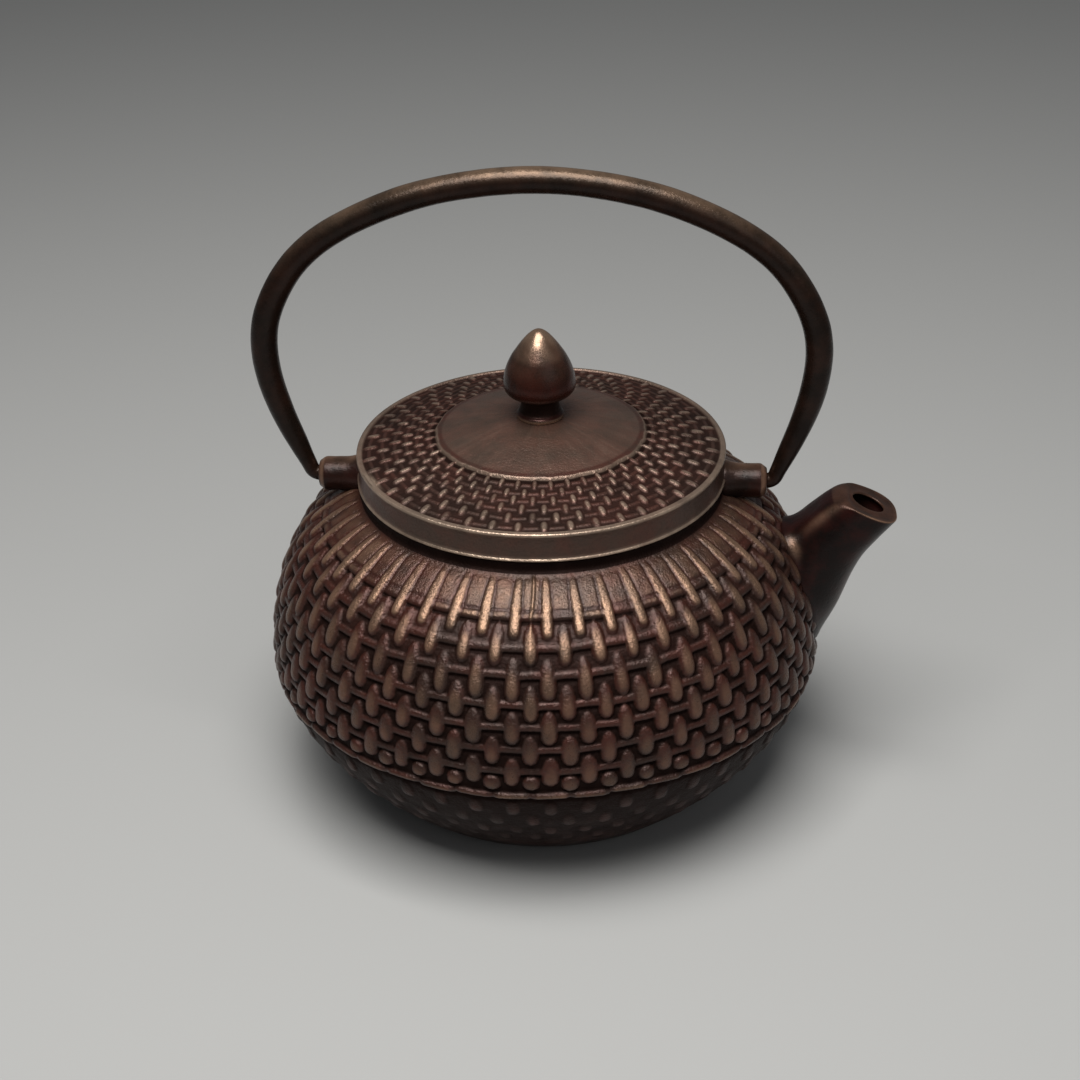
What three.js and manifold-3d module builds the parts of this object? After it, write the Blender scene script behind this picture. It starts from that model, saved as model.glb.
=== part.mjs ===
// Small cast iron teapot: round pot with a flat base, a short stub spout,
// two bored lugs that carry a swinging bail handle, and a lift-off lid with
// a riveted bud-shaped knob.
//
// Millimetres, +Z up. Origin: centre of the flat base, on the face it rests on.
// +X points along the spout; the bail hinges about the X line through the lugs.

import * as THREE from 'three';
import { mergeVertices } from 'three/addons/utils/BufferGeometryUtils.js';
import Module from 'manifold-3d';

const wasm = await Module();
wasm.setup();

// ---------------------------------------------------------------- dimensions
const GAP = 0.3;                 // clearance kept between touching pieces

// outside of the pot, [radius, height], from the centre of the base to the
// outer edge of the neck's flat top
const POT_OUTSIDE = [
  [0, 0], [29.2, 0], [30.5, 0.7], [34.4, 4], [38.3, 8], [41.5, 12], [44.1, 16],
  [45.6, 19.2], [46.4, 22], [46.6, 25], [46.3, 29], [45.5, 34], [43.4, 40],
  [40.6, 45], [37.0, 48.7], [34.2, 50.7], [32.0, 52.0], [30.2, 52.7],
  [29.5, 53.3], [29.5, 54.6],
];
// inside of the pot, from the inner edge of the neck's top down to the floor
const MOUTH_RADIUS = 26.6;
const POT_INSIDE = [
  [MOUTH_RADIUS, 54.6], [MOUTH_RADIUS, 51.4], [29.2, 50.0], [33.2, 47.6],
  [37.6, 43.6], [40.6, 38.8], [42.5, 33.4], [43.4, 27.5], [43.3, 23.5],
  [41.2, 17.2], [37.8, 12.2], [32.6, 7.0], [28.0, 4.2], [23.0, 3.4], [0, 3.4],
];
const POT_SEGMENTS = 48;

// port through the pot's wall behind the spout, a level hole along X
const PORT_RADIUS = 4.3;
const PORT_HEIGHT = 37;

// spout: matching points of its upper and lower outlines in the XZ plane,
// from inside the wall to the mouth, with the half width across (Y)
const SPOUT_UPPER = [[33.0, 41.0], [38.5, 44.4], [42.0, 46.4], [44.4, 48.5], [46.6, 50.5], [48.85, 52.1]];
const SPOUT_LOWER = [[46.4, 25.2], [49.2, 30.6], [51.4, 36.8], [53.4, 41.2], [56.0, 44.8], [58.45, 48.1]];
const SPOUT_HALF_WIDTH = [6.8, 6.5, 6.0, 5.6, 5.3, 5.25];
const SPOUT_WALL = [4.6, 3.4, 2.5, 2.1, 1.8, 1.45];        // in the XZ plane
const SPOUT_SIDE_WALL = [2.6, 2.6, 2.5, 2.3, 2.15, 2.1];   // across (Y)

// lugs: round stubs along X, bored from their outer ends for the bail's tips
const LUG_AXIS_HEIGHT = 53.75;
const LUG_RADIUS = 2.82;
const LUG_ROOT_RADIUS = 3.3;
const LUG_INNER_X = 30.75;
const LUG_OUTER_X = 36.9;
const LUG_CHAMFER = 0.8;
const LUG_BORE_RADIUS = 1.6;
const LUG_BORE_DEPTH = 4.3;

// bail: centre line of one half in the XZ plane, from its top to the bored
// lug, with the rod's radius at each point
const BAIL_HALF = [
  [0, 104.93, 2.10], [7.8, 104.4, 2.10], [17.75, 102.5, 2.10], [27.3, 98.85, 2.12],
  [34.1, 95.0, 2.14], [38.5, 91.1, 2.16], [41.7, 86.2, 2.18], [44.0, 81.05, 2.18],
  [44.5, 77.0, 2.17], [44.05, 71.1, 2.12], [42.5, 65.4, 1.95], [40.1, 59.2, 1.62],
  [39.05, 56.6, 1.38], [38.5, 55.25, 1.28], [38.06, 54.19, 1.25], [37.0, 53.75, 1.25],
];
const BAIL_TIP_X = 33.2;
const BAIL_TIP_RADIUS = 1.25;
const BAIL_SIDES = 12;

// lid: top surface from the stud hole outwards, rim, seat, locating skirt and
// hollow underside, [radius, height]
const STUD_HOLE_RADIUS = 1.5;
const LID_PROFILE = [
  [STUD_HOLE_RADIUS, 65.1], [5, 64.9], [9, 64.35], [13, 63.5], [17, 62.5], [22, 61.4],
  [26, 60.55], [29.2, 59.9], [30.0, 59.75], [30.2, 59.45], [30.27, 55.25], [30.0, 54.95],
  [25.9, 54.95], [25.7, 51.6], [24.4, 51.6], [24.2, 56.8], [22.6, 58.4],
  [17, 59.6], [12, 60.7], [6.5, 61.7], [STUD_HOLE_RADIUS, 61.75],
];
const LID_SEGMENTS = 48;

// knob: pointed bud on a waisted stem, with a blind hole for the stud
const KNOB_PROFILE = [
  [0, 65.45], [3.75, 65.45], [3.85, 65.75], [3.3, 66.4], [3.1, 67.4],
  [3.2, 68.7], [4.6, 69.1], [5.6, 69.75], [5.82, 70.6], [5.6, 72.6], [4.9, 74.6],
  [3.75, 76.6], [2.3, 78.6], [1.0, 79.8], [0, 80.2],
];
const KNOB_HOLE_TOP = 74.2;

// stud riveted through knob and lid, with its peened head under a washer
const STUD_RADIUS = 1.15;
const STUD_TOP = 73.8;
const RIVET_HEAD_RADIUS = 2.7;
const WASHER_OUTER_RADIUS = 5.0;
const WASHER_INNER_RADIUS = 1.5;
const WASHER_TOP = 61.4;
const WASHER_THICKNESS = 0.8;
const RIVET_HEAD_TOP = WASHER_TOP - WASHER_THICKNESS - GAP;
const RIVET_HEAD_HEIGHT = 1.2;

// ------------------------------------------------------------------- helpers
// Welds a geometry's shared vertices, drops empty triangles, faces it outward.
function tidy(geometry) {
  const g = geometry.clone();
  for (const name of Object.keys(g.attributes)) if (name !== 'position') g.deleteAttribute(name);
  const merged = mergeVertices(g, 1e-4);
  const p = merged.attributes.position;
  const index = merged.index.array;
  const kept = [];
  let volume = 0;
  const a = new THREE.Vector3(), b = new THREE.Vector3(), c = new THREE.Vector3();
  for (let i = 0; i < index.length; i += 3) {
    const [i0, i1, i2] = [index[i], index[i + 1], index[i + 2]];
    if (i0 === i1 || i1 === i2 || i2 === i0) continue;
    a.fromBufferAttribute(p, i0); b.fromBufferAttribute(p, i1); c.fromBufferAttribute(p, i2);
    volume += a.dot(b.cross(c));
    kept.push(i0, i1, i2);
  }
  if (volume < 0) for (let i = 0; i < kept.length; i += 3) [kept[i + 1], kept[i + 2]] = [kept[i + 2], kept[i + 1]];
  merged.setIndex(kept);
  return merged;
}

function toSolid(geometry) {
  const g = tidy(geometry);
  return new wasm.Manifold(new wasm.Mesh({
    numProp: 3,
    vertProperties: new Float32Array(g.attributes.position.array),
    triVerts: new Uint32Array(g.index.array),
  }));
}

function toGeometry(solid) {
  const m = solid.getMesh();
  const g = new THREE.BufferGeometry();
  const n = m.numProp;
  const xyz = new Float32Array((m.vertProperties.length / n) * 3);
  for (let i = 0; i < xyz.length / 3; i++) for (let k = 0; k < 3; k++) xyz[3 * i + k] = m.vertProperties[n * i + k];
  g.setAttribute('position', new THREE.BufferAttribute(xyz, 3));
  g.setIndex(Array.from(m.triVerts));
  g.computeVertexNormals();
  return g;
}

// Solid of revolution about Z from [radius, height] points.
function turned(points, segments) {
  const g = new THREE.LatheGeometry(points.map(([r, z]) => new THREE.Vector2(r, z)), segments);
  g.rotateX(Math.PI / 2);
  return tidy(g);
}

// Closes a profile that doesn't touch the axis.
const closed = (points) => [...points, points[0]];

// Round bar along X between two x values, at a height.
function barAlongX(radius, x0, x1, z, sides) {
  const g = new THREE.CylinderGeometry(radius, radius, x1 - x0, sides);
  g.rotateZ(Math.PI / 2);
  g.translate((x0 + x1) / 2, 0, z);
  return g;
}

// Closed tube through stations: each has a centre and two half-axis vectors.
function swept(station, steps, sides) {
  const g = new THREE.CylinderGeometry(1, 1, 1, sides, steps);
  const p = g.attributes.position;
  const v = new THREE.Vector3();
  for (let i = 0; i < p.count; i++) {
    v.fromBufferAttribute(p, i);
    const { centre, u, w } = station(v.y + 0.5);
    const q = centre.clone().addScaledVector(u, v.x).addScaledVector(w, v.z);
    p.setXYZ(i, q.x, q.y, q.z);
  }
  return tidy(g);
}

function interpolate(values, t) {
  const s = THREE.MathUtils.clamp(t, 0, 1) * (values.length - 1);
  const i = Math.min(Math.floor(s), values.length - 2);
  return THREE.MathUtils.lerp(values[i], values[i + 1], s - i);
}

// Moves a profile outwards along its own normals by d (radius, height pairs).
function grown(points, d) {
  return points.map(([r, z], i) => {
    const [r0, z0] = points[Math.max(i - 1, 0)];
    const [r1, z1] = points[Math.min(i + 1, points.length - 1)];
    const l = Math.hypot(r1 - r0, z1 - z0);
    return [Math.max(r + (d * (z1 - z0)) / l, 0), z - (d * (r1 - r0)) / l];
  });
}

// ----------------------------------------------------------------- materials
const blackBrownIron = new THREE.MeshStandardMaterial({ color: 0x4a3730, roughness: 0.5, metalness: 0.75 });
const lidIron = new THREE.MeshStandardMaterial({ color: 0x543e36, roughness: 0.48, metalness: 0.75 });
const smoothIron = new THREE.MeshStandardMaterial({ color: 0x33241f, roughness: 0.42, metalness: 0.75 });
const bailIron = new THREE.MeshStandardMaterial({ color: 0x4b382c, roughness: 0.4, metalness: 0.8 });
const wornIron = new THREE.MeshStandardMaterial({ color: 0x5f4b40, roughness: 0.45, metalness: 0.85 });

// --------------------------------------------------------------------- parts
const teapot = new THREE.Group();
function add(name, geometry, material) {
  const mesh = new THREE.Mesh(geometry, material);
  mesh.name = name;
  teapot.add(mesh);
}

// Solid block with the pot's outside, used to fit the pieces that stand on it.
const outsideBlock = toSolid(turned(
  [[0, -GAP], ...grown(POT_OUTSIDE.slice(1), GAP), [0, 54.6]], POT_SEGMENTS));

// pot: hollow casting with a flat base, an open neck and the spout's port
const potShell = toSolid(turned([...POT_OUTSIDE, ...POT_INSIDE], POT_SEGMENTS));
const port = toSolid(barAlongX(PORT_RADIUS, 34, 52, PORT_HEIGHT, 20));
add('pot_body', toGeometry(potShell.subtract(port)), blackBrownIron);

// spout: tapered tube rising from the belly, open at both ends
const spoutCurve = (list) => new THREE.CatmullRomCurve3(list.map(([x, z]) => new THREE.Vector3(x, 0, z)), false, 'centripetal');
const spoutUpper = spoutCurve(SPOUT_UPPER);
const spoutLower = spoutCurve(SPOUT_LOWER);
function spoutStation(t, inner) {
  // inner tubes run a little past both ends of the outer one
  const tc = THREE.MathUtils.clamp(t, 0, 1);
  const a = spoutUpper.getPoint(tc);
  const b = spoutLower.getPoint(tc);
  const centre = a.clone().add(b).multiplyScalar(0.5);
  const u = a.clone().sub(b).multiplyScalar(0.5);
  let half = u.length();
  let width = interpolate(SPOUT_HALF_WIDTH, tc);
  if (inner) {
    half -= interpolate(SPOUT_WALL, tc);
    width -= interpolate(SPOUT_SIDE_WALL, tc);
    const along = new THREE.Vector3(-u.z, 0, u.x).normalize().multiplyScalar(-1);
    if (t > 1) centre.addScaledVector(along, (t - 1) * 20);
    if (t < 0) centre.addScaledVector(along, t * 20);
  }
  return { centre, u: u.normalize().multiplyScalar(half), w: new THREE.Vector3(0, width, 0) };
}
const spoutOuter = toSolid(swept((t) => spoutStation(t, false), 8, 20));
const spoutBore = toSolid(swept((t) => spoutStation(-0.1 + 1.2 * t, true), 10, 16));
add('spout', toGeometry(spoutOuter.subtract(spoutBore).subtract(outsideBlock)), smoothIron);

// lugs: one on the spout's side, one opposite
function lug() {
  const profile = [
    [0, LUG_INNER_X], [LUG_ROOT_RADIUS, LUG_INNER_X], [LUG_RADIUS, LUG_INNER_X + 1.1],
    [LUG_RADIUS, LUG_OUTER_X - LUG_CHAMFER], [LUG_RADIUS - LUG_CHAMFER + 0.1, LUG_OUTER_X],
    [LUG_BORE_RADIUS, LUG_OUTER_X], [LUG_BORE_RADIUS, LUG_OUTER_X - LUG_BORE_DEPTH],
    [0, LUG_OUTER_X - LUG_BORE_DEPTH],
  ];
  const g = turned(profile, 20);
  g.rotateY(Math.PI / 2);
  g.translate(0, 0, LUG_AXIS_HEIGHT);
  return toSolid(g);
}
function facingBack(geometry) {
  const g = geometry.clone();
  g.rotateZ(Math.PI);
  return g;
}
const lugGeometry = toGeometry(lug().subtract(outsideBlock));
add('spout_side_lug', lugGeometry, smoothIron);
add('rear_lug', facingBack(lugGeometry), smoothIron);

// bail: one bent rod with its tips turned inwards into the lugs' bores
const bailPoints = [
  ...[...BAIL_HALF].reverse().slice(0, -1).map(([x, z, r]) => [-x, z, r]),
  ...BAIL_HALF,
];
bailPoints.unshift([-BAIL_TIP_X, LUG_AXIS_HEIGHT, BAIL_TIP_RADIUS]);
bailPoints.push([BAIL_TIP_X, LUG_AXIS_HEIGHT, BAIL_TIP_RADIUS]);
const bailCurve = new THREE.CatmullRomCurve3(bailPoints.map(([x, z]) => new THREE.Vector3(x, 0, z)), false, 'centripetal');
// stations sit closer together around the tight bends at the tips
const bailStations = [];
for (let i = 0; i < bailPoints.length - 1; i++) {
  const steps = i < 1 || i > bailPoints.length - 3 ? 1 : 2;
  for (let k = 0; k < steps; k++) bailStations.push((i + k / steps) / (bailPoints.length - 1));
}
bailStations.push(1);
const bail = swept((t) => {
  const s = bailStations[Math.round(t * (bailStations.length - 1))];
  const centre = bailCurve.getPoint(s);
  const direction = s <= 0 || s >= 1 ? new THREE.Vector3(1, 0, 0) : bailCurve.getTangent(s);
  const radius = interpolate(bailPoints.map((p) => p[2]), s);
  const across = new THREE.Vector3(-direction.z, 0, direction.x).normalize().multiplyScalar(radius);
  return { centre, u: across, w: new THREE.Vector3(0, radius, 0) };
}, bailStations.length - 1, BAIL_SIDES);
bail.computeVertexNormals();
add('bail_handle', bail, bailIron);

// lid: domed cover with a locating skirt that drops into the mouth
const lid = turned(closed(LID_PROFILE), LID_SEGMENTS);
lid.computeVertexNormals();
add('lid', lid, lidIron);

// knob: bud on a stem, with a blind hole for the stud
const knobSolid = toSolid(turned(KNOB_PROFILE, 24));
const knobHole = new THREE.CylinderGeometry(STUD_HOLE_RADIUS, STUD_HOLE_RADIUS, KNOB_HOLE_TOP - 60, 16);
knobHole.rotateX(Math.PI / 2);
knobHole.translate(0, 0, (KNOB_HOLE_TOP + 60) / 2);
add('lid_knob', toGeometry(knobSolid.subtract(toSolid(knobHole))), smoothIron);

// stud with a peened head, and the washer it bears on
const stud = turned([
  [0, STUD_TOP], [STUD_RADIUS, STUD_TOP], [STUD_RADIUS, RIVET_HEAD_TOP],
  [RIVET_HEAD_RADIUS, RIVET_HEAD_TOP], [RIVET_HEAD_RADIUS - 0.3, RIVET_HEAD_TOP - 0.6],
  [RIVET_HEAD_RADIUS - 1.2, RIVET_HEAD_TOP - RIVET_HEAD_HEIGHT], [0, RIVET_HEAD_TOP - RIVET_HEAD_HEIGHT],
], 16);
stud.computeVertexNormals();
add('knob_rivet', stud, wornIron);

const washer = turned(closed([
  [WASHER_INNER_RADIUS, WASHER_TOP], [WASHER_OUTER_RADIUS, WASHER_TOP],
  [WASHER_OUTER_RADIUS, WASHER_TOP - WASHER_THICKNESS], [WASHER_INNER_RADIUS, WASHER_TOP - WASHER_THICKNESS],
]), 24);
washer.computeVertexNormals();
add('knob_washer', washer, wornIron);

export default teapot;
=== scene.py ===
import math

import bpy
import bmesh
import numpy as np
from mathutils import Matrix, Vector


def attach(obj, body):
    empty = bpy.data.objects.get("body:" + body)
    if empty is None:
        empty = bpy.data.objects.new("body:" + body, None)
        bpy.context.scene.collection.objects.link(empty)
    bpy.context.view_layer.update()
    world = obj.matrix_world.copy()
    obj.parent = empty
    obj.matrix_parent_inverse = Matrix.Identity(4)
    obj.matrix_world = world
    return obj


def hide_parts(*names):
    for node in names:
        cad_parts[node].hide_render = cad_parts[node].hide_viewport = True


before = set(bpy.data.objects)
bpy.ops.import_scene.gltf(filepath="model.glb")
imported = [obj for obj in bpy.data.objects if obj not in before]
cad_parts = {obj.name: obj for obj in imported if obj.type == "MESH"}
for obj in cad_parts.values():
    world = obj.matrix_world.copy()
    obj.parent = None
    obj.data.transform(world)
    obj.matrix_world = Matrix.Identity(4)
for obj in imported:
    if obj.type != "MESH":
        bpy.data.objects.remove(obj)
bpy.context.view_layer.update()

MM = 0.001

# ------------------------------------------------------------ driving profiles
# [radius, height] or [x, z] in millimetres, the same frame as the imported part
POT_WALL = [
    (29.2, 0), (30.5, 0.7), (34.4, 4), (38.3, 8), (41.5, 12), (44.1, 16), (45.6, 19.2),
    (46.4, 22), (46.6, 25), (46.3, 29), (45.5, 34), (43.4, 40), (40.6, 45), (37.0, 48.7),
    (34.2, 50.7), (32.0, 52.0), (30.2, 52.7), (29.5, 53.3), (29.5, 54.6),
]
POT_INSIDE = [
    (26.6, 51.4), (29.2, 50.0), (33.2, 47.6), (37.6, 43.6), (40.6, 38.8), (42.5, 33.4),
    (43.4, 27.5), (43.3, 23.5), (41.2, 17.2), (37.8, 12.2), (32.6, 7.0), (28.0, 4.2),
    (23.0, 3.4), (12.0, 3.4),
]
PORT_RADIUS, PORT_HEIGHT = 4.3, 37.0
SPOUT_UPPER = [(33.0, 41.0), (38.5, 44.4), (42.0, 46.4), (44.4, 48.5), (46.6, 50.5), (48.85, 52.1)]
SPOUT_LOWER = [(46.4, 25.2), (49.2, 30.6), (51.4, 36.8), (53.4, 41.2), (56.0, 44.8), (58.45, 48.1)]
SPOUT_HALF_WIDTH = [6.8, 6.5, 6.0, 5.6, 5.3, 5.25]
SPOUT_WALL = [4.6, 3.4, 2.5, 2.1, 1.8, 1.45]
SPOUT_SIDE_WALL = [2.6, 2.6, 2.5, 2.3, 2.15, 2.1]
LUG_Z, LUG_R, LUG_ROOT_R, LUG_X0, LUG_X1, LUG_BORE_R, LUG_BORE_DEPTH = 53.75, 2.82, 3.3, 29.0, 36.9, 1.6, 4.3
BAIL_HALF = [
    (0, 104.93, 2.10), (7.8, 104.4, 2.10), (17.75, 102.5, 2.10), (27.3, 98.85, 2.12),
    (34.1, 95.0, 2.14), (38.5, 91.1, 2.16), (41.7, 86.2, 2.18), (44.0, 81.05, 2.18),
    (44.5, 77.0, 2.17), (44.05, 71.1, 2.12), (42.5, 65.4, 1.95), (40.1, 59.2, 1.62),
    (39.05, 56.6, 1.38), (38.5, 55.25, 1.28), (38.06, 54.19, 1.25), (37.0, 53.75, 1.25),
    (33.2, 53.75, 1.25),
]
LID_TOP = [(30.0, 59.75), (29.2, 59.9), (26, 60.55), (22, 61.4), (17, 62.5), (13, 63.5), (9, 64.35), (5, 64.9), (1.5, 65.1)]
LID_UNDER = [
    (1.5, 61.75), (6.5, 61.7), (12, 60.7), (17, 59.6), (22.6, 58.4), (24.2, 56.8), (24.4, 51.6),
    (25.7, 51.6), (25.9, 54.95), (30.0, 54.95),
]
KNOB = [
    (1.5, 64.9), (3.75, 64.9), (3.84, 65.1), (3.85, 65.6), (3.6, 65.95), (3.3, 66.4), (3.1, 67.4),
    (3.15, 68.3), (3.5, 68.75), (4.6, 69.1), (5.35, 69.6), (5.72, 70.15), (5.82, 70.8), (5.75, 71.8),
    (5.55, 72.8), (5.27, 73.7), (4.88, 74.65), (4.35, 75.7), (3.72, 76.65), (3.05, 77.6), (2.35, 78.5),
    (1.65, 79.3), (0.95, 79.87), (0.4, 80.14), (0, 80.2),
]
COLUMNS = 48                 # weave columns round the pot; a second set sits half way between
FIRST_COLUMN = -84.65        # degrees
LID_COLUMNS = 44


# ------------------------------------------------------------------- numerics
def lattice(ix, iy, iz, seed):
    h = (ix * 374761393 + iy * 668265263 + iz * 2147483629 + seed * 974711) & 0xFFFFFFFF
    h = ((h ^ (h >> 13)) * 1274126177) & 0xFFFFFFFF
    h = ((h ^ (h >> 15)) * 2246822519) & 0xFFFFFFFF
    return ((h ^ (h >> 16)) & 0xFFFFFFFF) / 4294967295.0


def noise(p, size, seed):
    """Smooth value noise from -1 to 1 at points p (..., 3) in mm, with features of that size."""
    q = np.asarray(p, float) / size + 1000.0
    i = np.floor(q).astype(np.int64)
    f = q - i
    f = f * f * (3 - 2 * f)
    out = 0.0
    for dx in (0, 1):
        for dy in (0, 1):
            for dz in (0, 1):
                w = (f[..., 0] if dx else 1 - f[..., 0]) * (f[..., 1] if dy else 1 - f[..., 1]) * (f[..., 2] if dz else 1 - f[..., 2])
                out = out + w * lattice(i[..., 0] + dx, i[..., 1] + dy, i[..., 2] + dz, seed)
    return out * 2 - 1


def step01(x, a, b):
    t = np.clip((x - a) / (b - a), 0, 1)
    return t * t * (3 - 2 * t)


def smooth_path(points, count, tension=0.5):
    """Centripetal Catmull-Rom through points of any dimension, count samples per span, with the control index of each."""
    p = np.array(points, float)
    p = np.vstack([2 * p[0] - p[1], p, 2 * p[-1] - p[-2]])
    out, at = [], []
    for k in range(1, len(p) - 2):
        p0, p1, p2, p3 = p[k - 1], p[k], p[k + 1], p[k + 2]
        t0 = 0.0
        t1 = t0 + max(np.linalg.norm((p1 - p0)[:2]), 1e-6) ** tension
        t2 = t1 + max(np.linalg.norm((p2 - p1)[:2]), 1e-6) ** tension
        t3 = t2 + max(np.linalg.norm((p3 - p2)[:2]), 1e-6) ** tension
        last = k == len(p) - 3
        for j in range(count + (1 if last else 0)):
            t = t1 + (t2 - t1) * j / count
            a1 = p0 * (t1 - t) / (t1 - t0) + p1 * (t - t0) / (t1 - t0)
            a2 = p1 * (t2 - t) / (t2 - t1) + p2 * (t - t1) / (t2 - t1)
            a3 = p2 * (t3 - t) / (t3 - t2) + p3 * (t - t2) / (t3 - t2)
            b1 = a1 * (t2 - t) / (t2 - t0) + a2 * (t - t0) / (t2 - t0)
            b2 = a2 * (t3 - t) / (t3 - t1) + a3 * (t - t1) / (t3 - t1)
            out.append(b1 * (t2 - t) / (t2 - t1) + b2 * (t - t1) / (t2 - t1))
            at.append(k - 1 + j / count)
    return np.array(out), np.array(at)


def polyline_s(points):
    p = np.array(points, float)[:, :2]
    return np.concatenate([[0], np.cumsum(np.linalg.norm(np.diff(p, axis=0), axis=1))])


def build(name, verts, faces, attributes=None):
    """A mesh from vertices in mm and a list of index arrays (rows of equal corner count)."""
    me = bpy.data.meshes.new(name)
    co = (np.asarray(verts, float) * MM).astype(np.float32)
    corners = np.concatenate([f.ravel() for f in faces]).astype(np.int32)
    totals = np.concatenate([np.full(len(f), f.shape[1]) for f in faces]).astype(np.int32)
    starts = np.concatenate([[0], np.cumsum(totals)[:-1]]).astype(np.int32)
    me.vertices.add(len(co))
    me.vertices.foreach_set("co", co.ravel())
    me.loops.add(len(corners))
    me.loops.foreach_set("vertex_index", corners)
    me.polygons.add(len(totals))
    me.polygons.foreach_set("loop_start", starts)
    me.update(calc_edges=True)
    me.validate()
    me.polygons.foreach_set("use_smooth", np.ones(len(me.polygons), bool))
    for key, values in (attributes or {}).items():
        a = me.attributes.new(key, "FLOAT", "POINT")
        a.data.foreach_set("value", np.asarray(values, np.float32).ravel())
    me.update()
    o = bpy.data.objects.new(name, me)
    bpy.context.scene.collection.objects.link(o)
    return o


def revolve(name, rings, keys=("relief_and_shade", "wear_and_highlight")):
    """Surface of revolution from rings {n, r, z, relief, wear}; r, z and the rest are numbers or arrays of n.
    Neighbouring rings may differ by a whole factor. A ring with n = 1 is a pole."""
    verts, faces, values, start = [], [], {k: [] for k in keys}, []
    total = 0
    for g in rings:
        n = g["n"]
        a = 2 * math.pi * np.arange(n) / n
        r, z = np.broadcast_to(g["r"], n), np.broadcast_to(g["z"], n)
        verts.append(np.stack([r * np.cos(a), r * np.sin(a), z], 1))
        for k in keys:
            values[k].append(np.broadcast_to(g.get(k, 0.0), n))
        start.append(total)
        total += n
    pairs = list(zip(range(len(rings) - 1), range(1, len(rings))))
    if rings[0]["n"] > 1 and rings[-1]["n"] > 1:
        pairs.append((len(rings) - 1, 0))
    for i, j in pairs:
        na, nb, a0, b0 = rings[i]["n"], rings[j]["n"], start[i], start[j]
        if na == 1 and nb == 1:
            continue
        if na == 1:
            k = np.arange(nb)
            faces.append(np.stack([np.full(nb, a0), b0 + (k + 1) % nb, b0 + k], 1))
        elif nb == 1:
            k = np.arange(na)
            faces.append(np.stack([a0 + k, a0 + (k + 1) % na, np.full(na, b0)], 1))
        elif na >= nb:
            m = na // nb
            k = np.arange(nb)
            faces.append(np.stack([a0 + (k * m + q) % na for q in range(m + 1)] + [b0 + (k + 1) % nb, b0 + k], 1))
        else:
            m = nb // na
            k = np.arange(na)
            faces.append(np.stack([a0 + k, a0 + (k + 1) % na] + [b0 + (k * m + q) % nb for q in range(m, -1, -1)], 1))
    return build(name, np.vstack(verts), faces, {k: np.concatenate(v) for k, v in values.items()})


def tube(name, centres, us, ws, sides, relief_and_shade=None, wear_and_highlight=None, power=None, caps=True):
    """Points of a loft, not closed into faces: section q is centre + u cos + w sin, u and w being half-axis vectors;
    power is a superellipse exponent per section.
    """
    n = len(centres)
    a = 2 * math.pi * np.arange(sides) / sides
    c, s = np.cos(a), np.sin(a)
    p = np.full(n, 2.0) if power is None else np.asarray(power, float)
    e = (2 / p)[:, None]
    cc, ss = np.sign(c) * np.abs(c) ** e, np.sign(s) * np.abs(s) ** e
    v = centres[:, None, :] + us[:, None, :] * cc[..., None] + ws[:, None, :] * ss[..., None]
    return v


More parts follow.
